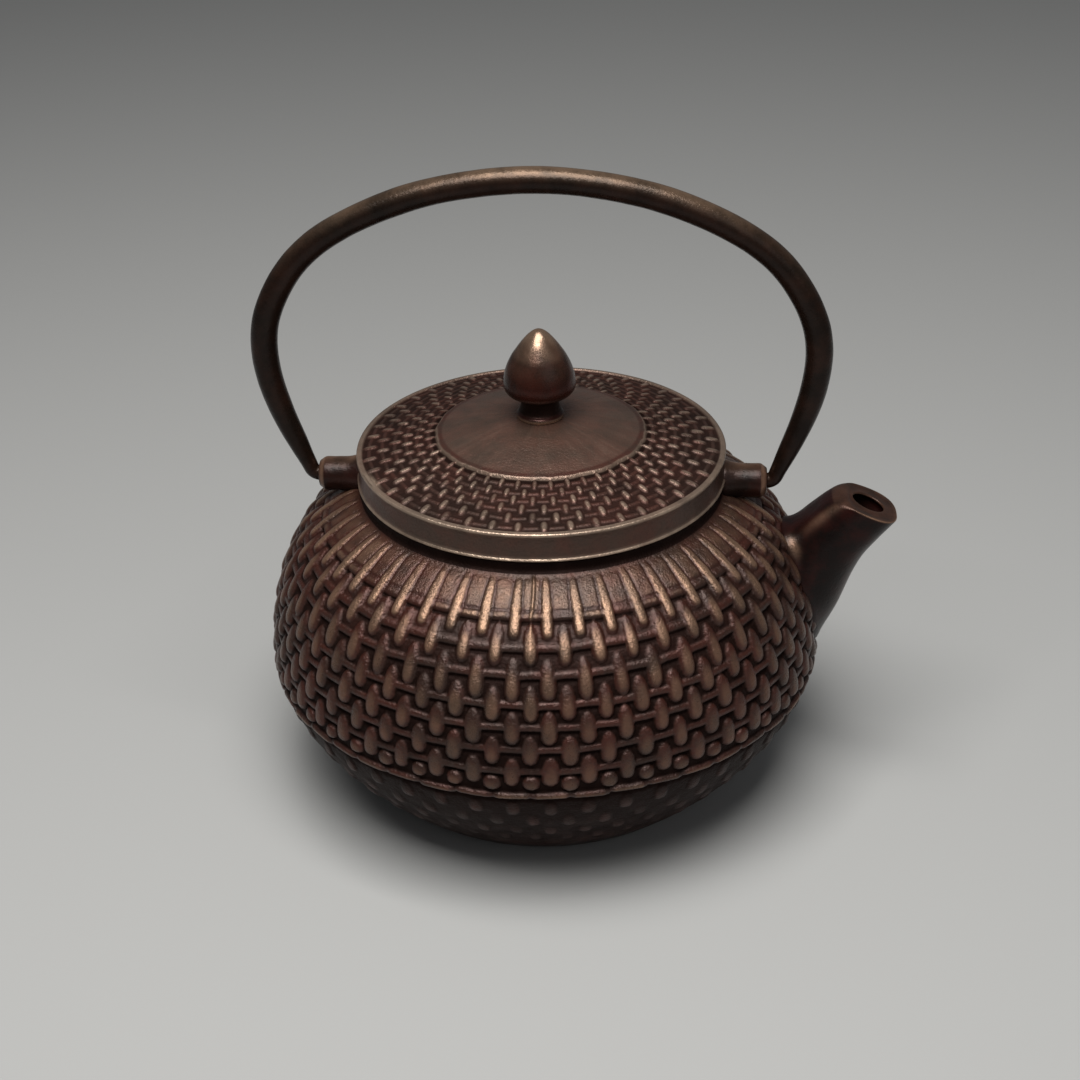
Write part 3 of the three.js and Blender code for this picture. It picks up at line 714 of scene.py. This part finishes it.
all_rows = np.concatenate([outer, np.array(rim_rows), np.array(lip), bore_final])
nr = len(all_rows)
k = np.arange(SIDES)
faces = []
for i in range(nr):
    j = (i + 1) % nr
    faces.append(np.stack([i * SIDES + k, i * SIDES + (k + 1) % SIDES, j * SIDES + (k + 1) % SIDES, j * SIDES + k], 1))
relief_s = np.full((nr, SIDES), 0.82)
wear_s = np.full((nr, SIDES), 0.01)
# lighter along the soft ridges of the section, partly wear and partly painted highlight
corner = np.exp(-((np.abs(np.abs(np.sin(ang)) - 0.56) / 0.12) ** 2)) * (np.cos(ang) > 0)
for i in range(NS):
    t = q[i]
    # darker next to the pot: painted shade in the joint
    relief_s[i] = 0.72 + 0.15 * np.clip(-inside_pot(outer[i]) / 2.5, 0, 1)
    wear_s[i] = 0.26 * corner * step01(np.array(t), 0.3, 0.8) + 0.004
    # painted highlight patches at the top of the root, stronger on the side towards the front
    near_root = np.exp(-((np.clip(-inside_pot(outer[i]), -1, 9) - 0.7) / 0.8) ** 2)
    wear_s[i] += 0.6 * near_root * np.exp(-((ang - 2 * math.pi + 0.75) / 0.2) ** 2)
    wear_s[i] += 0.3 * near_root * np.exp(-((ang - 0.75) / 0.2) ** 2)
# rim lighter, brightest along its front edge, partly wear and partly painted highlight
front_edge = step01(-np.cos(ang), -0.55, 0.1)
for i in range(NS, NS + 9):
    wear_s[i] = 0.12 + 0.85 * front_edge * math.exp(-(((i - NS) - 4) / 2.6) ** 2)
for i in range(NS + 9, NS + 12):
    wear_s[i], relief_s[i] = 0.1, 0.85
for i in range(NS + 12, NS + 17):
    wear_s[i] = 0.12
# the bore darkens inward as painted shade inside the hole
for i in range(NS + 17, nr):
    relief_s[i] = 0.62 - 0.5 * min(1, (i - NS - 17) / 7)
    wear_s[i] = 0.0
spout = build("spout_cast", all_rows.reshape(-1, 3), faces, {"relief_and_shade": relief_s, "wear_and_highlight": np.clip(wear_s, 0, 1)})
bm = bmesh.new()
bm.from_mesh(spout.data)
bmesh.ops.remove_doubles(bm, verts=bm.verts, dist=1e-6)
bmesh.ops.recalc_face_normals(bm, faces=bm.faces)
bm.to_mesh(spout.data)
bm.free()
spout.data.materials.append(smooth_mat)
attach(spout, "pot")
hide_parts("spout")


# ----------------------------------------------------------------------- lugs
def lug(name, node, sign, seed):
    prof = [(0.0, LUG_X0), (3.2, LUG_X0), (3.35, LUG_X0 + 0.9), (3.15, LUG_X0 + 1.8), (2.95, LUG_X0 + 2.7), (2.86, LUG_X0 + 3.8),
            (LUG_R, LUG_X0 + 5.2), (LUG_R, LUG_X1 - 1.1), (2.74, LUG_X1 - 0.88), (2.36, LUG_X1 - 0.34), (2.14, LUG_X1 - 0.08),
            (1.9, LUG_X1), (1.68, LUG_X1 - 0.08), (LUG_BORE_R, LUG_X1 - 0.3), (LUG_BORE_R, LUG_X1 - 2.0), (LUG_BORE_R, LUG_X1 - LUG_BORE_DEPTH), (0.0, LUG_X1 - LUG_BORE_DEPTH)]
    outer_part, _ = smooth_path(prof[1:12], 6)
    bore_part, _ = smooth_path(prof[11:16], 3)
    pts = np.vstack([[prof[0]], outer_part, bore_part[1:], [prof[16]]])
    n = 112
    a = 2 * math.pi * np.arange(n) / n
    verts, rel_, wr = [], [], []
    for i, (r, x) in enumerate(pts):
        ring = np.stack([np.full(n, x * sign), r * np.cos(a), LUG_Z + r * np.sin(a)], -1)
        if r > 1.7:
            wob = 0.05 * noise(ring, 3.2, seed) + 0.02 * noise(ring, 1.2, seed + 1)
            ring[:, 1] += wob * np.cos(a)
            ring[:, 2] += wob * np.sin(a)
        bore = i > len(outer_part)
        verts.append(ring)
        # the bore is darker as painted shade inside the hole
        rel_.append(np.full(n, 0.2 if bore and x < LUG_X1 - 1 else 0.82))
        # lighter on the upper side and along the end's edge, partly wear and partly painted highlight from light above
        top = np.clip(np.sin(a + (0.65 if sign > 0 else 0.65)), 0, 1)
        wv = 0.03 + 0.7 * np.exp(-((r - 2.55) / 0.3) ** 2) * (x > LUG_X1 - 1.0) * 0.7 + 0.85 * top**2.5 * (x < LUG_X1 - 0.6) * (0.75 + 0.5 * noise(ring, 2.2, seed + 2))
        wr.append(np.where(bore, 0.0, wv))
    m = len(verts)
    k = np.arange(n)
    faces = []
    for i in range(m - 1):
        quad = np.stack([i * n + k, i * n + (k + 1) % n, (i + 1) * n + (k + 1) % n, (i + 1) * n + k], 1)
        faces.append(quad if sign > 0 else quad[:, ::-1])
    o = build(name, np.vstack(verts), faces, {"relief_and_shade": np.concatenate(rel_), "wear_and_highlight": np.clip(np.concatenate(wr), 0, 1)})
    b = bmesh.new()
    b.from_mesh(o.data)
    bmesh.ops.remove_doubles(b, verts=b.verts, dist=1e-6)
    bmesh.ops.recalc_face_normals(b, faces=b.faces)
    b.to_mesh(o.data)
    b.free()
    o.data.polygons.foreach_set("use_smooth", np.ones(len(o.data.polygons), bool))
    o.data.materials.append(smooth_mat)
    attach(o, "pot")
    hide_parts(node)
    return o


lug("spout_side_lug_cast", "spout_side_lug", 1, 101)
lug("rear_lug_cast", "rear_lug", -1, 111)


# ----------------------------------------------------------------------- bail
ctrl = [(-x, z, r) for x, z, r in reversed(BAIL_HALF[1:])] + list(BAIL_HALF)
bp, _ = smooth_path(ctrl, 14)
seg = np.concatenate([[0], np.cumsum(np.linalg.norm(np.diff(bp[:, :2], axis=0), axis=1))])
even = np.linspace(0, seg[-1], 420)
bx, bz, br = (np.interp(even, seg, bp[:, i]) for i in range(3))
kern = np.exp(-np.linspace(-1.5, 1.5, 5) ** 2)
kern /= kern.sum()


def soften(v):
    out = np.convolve(np.pad(v, 2, mode="edge"), kern, "valid")
    out[:3], out[-3:] = v[:3], v[-3:]
    return out


arch = step01(bz, 60.0, 66.0)
sx, sz = bx.copy(), bz.copy()
for _ in range(60):
    sx, sz = soften(sx), soften(sz)
bx, bz = soften(bx), soften(bz)
bx, bz = bx * (1 - arch) + sx * arch, bz * (1 - arch) + sz * arch
dx, dz = np.gradient(bx), np.gradient(bz)
dl = np.hypot(dx, dz)
dx, dz = dx / dl, dz / dl
dx[0], dz[0], dx[-1], dz[-1] = 1, 0, -1, 0
nb = 96
a = 2 * math.pi * np.arange(nb) / nb
C = np.stack([bx, np.zeros_like(bx), bz], -1)
U = np.stack([-dz, np.zeros_like(dx), dx], -1)          # away from the pot over the arch
rad = br
# rounded tip ends
tip = np.minimum(even, seg[-1] - even)
rad = rad * np.where(tip < 0.4, np.sqrt(np.clip(1 - ((0.4 - tip) / 0.4) ** 2 * 0.5, 0, 1)), 1)
P = C[:, None, :] + rad[:, None, None] * (U[:, None, :] * np.cos(a)[None, :, None] + np.array([0, 1, 0])[None, None, :] * np.sin(a)[None, :, None])
soft_noise = 0.045 * noise(P, 7.0, 131) + 0.02 * noise(P, 2.4, 132) + 0.008 * noise(P, 1.0, 133)
soft_noise *= np.clip((tip - 6) / 4, 0, 1)[:, None]
dirs = (P - C[:, None, :]) / rad[:, None, None]
P = P + dirs * soft_noise[..., None]
# lighter along the top, most over the arch, partly wear and partly painted highlight from light above; lower relief on
# the underside is painted shade
mid_height = step01(C[:, 2], 78, 104)
upness = np.clip(dirs[..., 2], 0, 1)
fray = 0.5 + 0.5 * noise(P, 6.0, 134)
wear_b = 0.02 + (0.12 + 0.5 * mid_height[:, None]) * upness**2.2 * (0.35 + 0.8 * fray)
relief_b = 0.62 + 0.25 * upness + 0.1 * noise(P, 5.0, 135)
first, last = np.array([C[0]]), np.array([C[-1]])
verts = np.vstack([P.reshape(-1, 3), first, last])
k = np.arange(nb)
faces = [np.stack([i * nb + k, i * nb + (k + 1) % nb, (i + 1) * nb + (k + 1) % nb, (i + 1) * nb + k], 1) for i in range(len(C) - 1)]
n_all = len(C) * nb
faces.append(np.stack([np.full(nb, n_all), (k + 1) % nb, k], 1))
faces.append(np.stack([np.full(nb, n_all + 1), n_all - nb + k, n_all - nb + (k + 1) % nb], 1))
bail = build("bail_handle_forged", verts, faces, {
    "relief_and_shade": np.concatenate([relief_b.ravel(), [0.5, 0.5]]), "wear_and_highlight": np.clip(np.concatenate([wear_b.ravel(), [0, 0]]), 0, 1)})
bm = bmesh.new()
bm.from_mesh(bail.data)
bmesh.ops.recalc_face_normals(bm, faces=bm.faces)
bm.to_mesh(bail.data)
bm.free()
bail.data.materials.append(bail_mat)
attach(bail, "bail")
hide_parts("bail_handle")


# ------------------------------------------------------------------------ lid
LPER = 24
N_LID = LID_COLUMNS * LPER
top_path, _ = smooth_path(LID_TOP, 14)                    # from the rim inwards
top_r, top_z = top_path[:, 0], top_path[:, 1]


def lid_top(r):
    o = np.argsort(top_r)
    return np.interp(r, top_r[o], top_z[o])


weave_r = np.concatenate([np.arange(29.9, 16.2, -0.13)])
th = 360.0 * np.arange(N_LID) / N_LID
LT, LR = np.meshgrid(th, weave_r)
LP = 360.0 / LID_COLUMNS
lid_xyz = np.stack([LR * np.cos(np.radians(LT)), LR * np.sin(np.radians(LT)), lid_top(LR)], -1)
base = -0.4
LH = np.full(LT.shape, base)
lrng = np.random.default_rng(244)
RINGS = [(27.95, 0.0, 1.26), (25.8, 0.5, 1.22), (23.75, 0.0, 1.16), (21.85, 0.5, 1.1), (20.1, 0.0, 1.02), (18.2, 0.5, 1.1)]
for ring_i, (rc, off, half_len) in enumerate(RINGS):
    qv = (LT - FIRST_COLUMN) / LP - off
    kk = np.round(qv).astype(int)
    K = kk % LID_COLUMNS
    X = (qv - kk) * math.radians(LP) * LR
    jr = lrng.uniform(-0.12, 0.12, LID_COLUMNS)[K]
    jx = lrng.uniform(-0.1, 0.1, LID_COLUMNS)[K]
    jh = lrng.uniform(-0.1, 0.0, LID_COLUMNS)[K]
    w = np.interp(rc, [18, 28], [0.46, 0.64])
    v = (LR - rc - jr) / half_len
    rho = np.sqrt(np.abs((X - jx) / w) ** 2.1 + np.abs(v) ** 3.0)
    dome = np.where(rho < 1, (1 - np.clip(rho, 0, 1) ** 2.2) ** 0.6, 0)
    LH = np.maximum(LH, base + (-0.03 + jh - base) * dome)
    # cross strand through the gaps of this ring
    qo = qv - 0.5
    ko = np.round(qo).astype(int)
    XO = (qo - ko) * math.radians(LP) * LR
    slope = lrng.uniform(-0.1, 0.1, LID_COLUMNS)[ko % LID_COLUMNS]
    d = (LR - rc - 0.12 - slope * XO) / 0.36
    half_gap = math.radians(LP) * LR * 0.5 - w * 1.25
    bar = np.where((np.abs(d) < 1) & (np.abs(XO) < half_gap), (1 - np.clip(np.abs(d), 0, 1) ** 2.2) ** 0.6, 0)
    LH = np.maximum(LH, base + 0.16 * bar)
# the plain disc in the middle, with an uneven edge, and the plain border at the rim
edge_line = 17.05 + 0.16 * noise(np.stack([np.cos(np.radians(LT)) * 20, np.sin(np.radians(LT)) * 20, 0 * LT], -1), 3.0, 31) + 0.1 * noise(np.stack([np.cos(np.radians(LT)) * 20, np.sin(np.radians(LT)) * 20, 0 * LT], -1), 1.1, 32)
disc = 1 - step01(LR, edge_line - 0.12, edge_line + 0.22)
LH = LH * (1 - disc) + 0.02 * disc
border = step01(LR, 29.05, 29.35)
LH = LH * (1 - border) + (-0.02) * border
LH += (0.02 * noise(lid_xyz, 1.6, 33) + 0.012 * noise(lid_xyz, 0.6, 34)) * (1 - border)
around = np.clip((LH - base) / 0.4, 0, 1)
lid_relief = 0.3 + 0.6 * around
lid_wear = step01(LH, -0.2, -0.04) * 0.5 * (1 - disc)
# thin light line along the disc's edge, partly wear and partly painted highlight
lip_line = np.exp(-(((LR - edge_line + 0.02) / 0.16) ** 2))
lid_wear = np.maximum(lid_wear, 0.5 * lip_line)
# border lighter, more on the front side, as painted highlight
lid_wear = np.maximum(lid_wear, border * (0.12 + 0.3 * step01(-np.sin(np.radians(LT)), -0.1, 0.7)))
# painted shadow just outside the disc's edge, under its overhang
lid_relief = np.where(disc > 0.5, 0.8, lid_relief) - 0.4 * np.exp(-(((LR - edge_line - 0.5) / 0.3) ** 2)) * (1 - around)

rings = []
under, _ = smooth_path(LID_UNDER[:5], 4)
N_U = 264
for r, z in under:
    rings.append({"n": N_U, "r": r, "z": z, "relief_and_shade": 0.55, "wear_and_highlight": 0.05})
for r, z in [(23.5, 57.75), (24.05, 57.2), (24.22, 56.7), (24.3, 54.4), (24.38, 52.1), (24.48, 51.75), (24.7, 51.6), (25.4, 51.6), (25.62, 51.72), (25.7, 52.0), (25.8, 53.6), (25.87, 54.6), (25.98, 54.86), (26.2, 54.95)]:
    rings.append({"n": N_U, "r": r, "z": z, "relief_and_shade": 0.7, "wear_and_highlight": 0.12})
rings.append({"n": N_U, "r": 28.5, "z": 54.95, "relief_and_shade": 0.7, "wear_and_highlight": 0.1})
a_l = 2 * math.pi * np.arange(N_LID) / N_LID
chip = np.exp(-(((np.degrees(a_l) - 208 + 180) % 360 - 180) / 4.5) ** 2)
chip2 = chip * (0.6 + 0.4 * noise(np.stack([np.cos(a_l) * 30, np.sin(a_l) * 30, 0 * a_l], -1), 0.8, 41))
ring_p = np.stack([30 * np.cos(a_l), 30 * np.sin(a_l), 0 * a_l], -1)
wob = noise(ring_p, 9.0, 42)
fret = 0.5 + 0.5 * noise(ring_p, 1.6, 43)
# rim edges lighter, more on the front side as painted highlight; the chip is real wear
front = 0.4 + 0.6 * step01(-np.sin(a_l), -0.3, 0.5)
side = [
    (29.8, 54.95, 0.2), (30.08, 54.98, 0.5), (30.2, 55.06, 0.9), (30.24, 55.18, 1.0), (30.2, 55.3, 1.0), (30.05, 55.42, 1.0), (29.98, 55.52, 0.3), (29.97, 55.9, 0.04), (29.96, 56.6, 0.03), (29.96, 57.4, 0.03),
    (29.98, 58.2, 0.03), (30.03, 58.8, 0.04), (30.1, 59.15, 0.12), (30.16, 59.36, 0.5), (30.15, 59.53, 1.0), (30.08, 59.66, 1.0), (29.97, 59.74, 0.9),
]
for r, z, w in side:
    rings.append({"n": N_LID, "r": r + 0.03 * wob - 0.22 * chip2 * (z > 58.6), "z": z - 0.12 * chip2 * (z > 59.2), "relief_and_shade": 0.85 if w > 0.1 else 0.74,
                  "wear_and_highlight": np.clip(w * (0.55 + 0.6 * fret) * front + 0.9 * chip * (z > 58.9), 0, 1)})
for i in range(len(weave_r)):
    r = weave_r[i]
    rings.append({"n": N_LID, "r": r, "z": lid_top(r) + LH[i] - 0.1 * chip2 * np.clip((r - 28.6) / 1.2, 0, 1), "relief_and_shade": lid_relief[i],
                  "wear_and_highlight": np.clip(lid_wear[i] + 0.9 * chip * np.clip((r - 28.4) / 0.8, 0, 1), 0, 1)})
a_d = 2 * math.pi * np.arange(N_LID // 2) / (N_LID // 2)
for r in np.concatenate([np.arange(15.9, 4.6, -0.55), [4.1, 3.3, 2.4, 1.5]]):
    p = np.stack([r * np.cos(a_d), r * np.sin(a_d), np.full(len(a_d), 0.0)], -1)
    streak = noise(np.stack([np.cos(a_d) * 14, np.sin(a_d) * 14, np.full(len(a_d), r * 0.12)], -1), 0.8, 51)
    rings.append({"n": N_LID // 2, "r": r, "z": lid_top(r) + 0.02 + 0.022 * streak + 0.02 * noise(p, 2.5, 52), "relief_and_shade": 0.82 + 0.05 * streak, "wear_and_highlight": 0.1 + 0.05 * np.clip(streak, 0, 1)})
lid = revolve("lid_cast", rings)
lid.data.materials.append(lid_mat)
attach(lid, "lid")
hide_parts("lid")


# ----------------------------------------------------------------------- knob
kp, _ = smooth_path(KNOB[2:], 5)
rings = []
N_K = 192
a_k = 2 * math.pi * np.arange(N_K) / N_K
for r, z in [(1.5, 74.0), (1.5, 70.0), (1.5, 65.0)]:
    rings.append({"n": N_K, "r": r, "z": z, "relief_and_shade": 0.3})
rings.insert(0, {"n": 1, "r": 0.0, "z": 74.2, "relief_and_shade": 0.3})
rings.append({"n": N_K, "r": 1.7, "z": 64.9, "relief_and_shade": 0.4})
rings.append({"n": N_K, "r": 3.7, "z": 64.9, "relief_and_shade": 0.5})
for i, (r, z) in enumerate(kp):
    if r < 0.02:
        continue
    p = np.stack([r * np.cos(a_k), r * np.sin(a_k), np.full(N_K, z)], -1)
    facet = 0.012 * r * np.cos(5 * (a_k + 1.9)) * float(np.interp(z, [70.5, 74, 79.6], [0, 1, 0.6]))
    d = 0.05 * noise(p, 3.4, 61) + 0.02 * noise(p, 1.3, 62) if z > 66 else 0.0
    base_line = math.exp(-(((z - 65.35) / 0.22) ** 2))
    # tip lighter, partly wear and partly painted highlight
    tip_w = float(np.interp(z, [72, 75.5, 78.0, 80.2], [0.01, 0.1, 0.55, 1.0]))
    # stem and waist under the bud darker, as painted shade
    stem_shade = float(np.interp(z, [65.7, 66.3, 68.9, 70.2, 71.5], [0.85, 0.25, 0.2, 0.62, 0.85])) if z > 65.7 else 0.85
    rings.append({"n": N_K, "r": r + facet + d * min(1, r / 2), "z": z, "relief_and_shade": stem_shade, "wear_and_highlight": np.clip(max(0.9 * base_line, tip_w) * (1 + 0.5 * noise(p, 1.8, 63)), 0, 1) if z > 70 or z < 66 else 0.02})
rings.append({"n": 1, "r": 0.0, "z": 80.2, "relief_and_shade": 0.9, "wear_and_highlight": 1.0})
knob = revolve("lid_knob_cast", rings)
bm = bmesh.new()
bm.from_mesh(knob.data)
bmesh.ops.recalc_face_normals(bm, faces=bm.faces)
bm.to_mesh(knob.data)
bm.free()
knob.data.materials.append(knob_mat)
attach(knob, "lid")
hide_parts("lid_knob")

# stud and washer keep their CAD shapes and get a real finish
for n in ("knob_rivet", "knob_washer"):
    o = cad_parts[n]
    o.data.materials.clear()
    o.data.materials.append(rivet_mat)

# ------------------------------------------------------------- floor and light
floor_mat = bpy.data.materials.new("floor_paper")
floor_mat.use_nodes = True
shader = floor_mat.node_tree.nodes["Principled BSDF"]
shader.inputs["Base Color"].default_value = (0.385, 0.385, 0.378, 1)
shader.inputs["Roughness"].default_value = 0.7
shader.inputs["Specular IOR Level"].default_value = 0.25
me = bpy.data.meshes.new("floor")
me.from_pydata([(-4, -4, 0), (4, -4, 0), (4, 4, 0), (-4, 4, 0)], [], [(0, 1, 2, 3)])
floor = bpy.data.objects.new("floor", me)
bpy.context.scene.collection.objects.link(floor)
me.materials.append(floor_mat)

world = bpy.data.worlds.new("studio")
bpy.context.scene.world = world
world.use_nodes = True
world.node_tree.nodes["Background"].inputs[0].default_value = (0.93, 0.96, 1.0, 1)
world.node_tree.nodes["Background"].inputs[1].default_value = 0.12


def lamp(name, place, target, size, size_y, power, colour):
    d = bpy.data.lights.new(name, "AREA")
    d.shape = "RECTANGLE"
    d.size, d.size_y, d.energy, d.color = size, size_y, power, colour
    o = bpy.data.objects.new(name, d)
    o.location = place
    o.rotation_mode = "QUATERNION"
    o.rotation_quaternion = (Vector(target) - Vector(place)).to_track_quat("-Z", "Y")
    bpy.context.scene.collection.objects.link(o)
    return o


lamp("key", (-0.02, -0.17, 0.52), (0, -0.13, 0.0), 0.36, 0.36, 4.1, (1.0, 0.99, 0.97))
lamp("fill", (0.5, -0.6, 0.45), (0, 0, 0.05), 0.5, 0.5, 0.4, (0.97, 0.985, 1.0))

# --------------------------------------------------------------------- camera
pitch, roll = math.radians(29.75), math.radians(-1.33)
f = np.array([0, math.cos(pitch), -math.sin(pitch)])
right0, up0 = np.array([1.0, 0, 0]), np.array([0, math.sin(pitch), math.cos(pitch)])
right = right0 * math.cos(roll) + up0 * math.sin(roll)
upv = -right0 * math.sin(roll) + up0 * math.cos(roll)
place = np.array([-0.524, 0, 19.69]) - f * 335.9
turn = math.radians(5)
RZ = np.array([[math.cos(turn), -math.sin(turn), 0], [math.sin(turn), math.cos(turn), 0], [0, 0, 1]])
place = (RZ @ place + np.array([0, 0, 22.0])) * MM
right, upv, back = RZ @ right, RZ @ upv, -(RZ @ f)
cam_data = bpy.data.cameras.new("camera")
cam_data.lens, cam_data.sensor_width, cam_data.sensor_fit = 66.667, 36, "HORIZONTAL"
cam_data.clip_start, cam_data.clip_end = 0.01, 20
cam = bpy.data.objects.new("camera", cam_data)
bpy.context.scene.collection.objects.link(cam)
m = Matrix([[right[0], upv[0], back[0], place[0]], [right[1], upv[1], back[1], place[1]], [right[2], upv[2], back[2], place[2]], [0, 0, 0, 1]])
cam.matrix_world = m
bpy.context.scene.camera = cam
bpy.context.scene.view_settings.view_transform = "Standard"
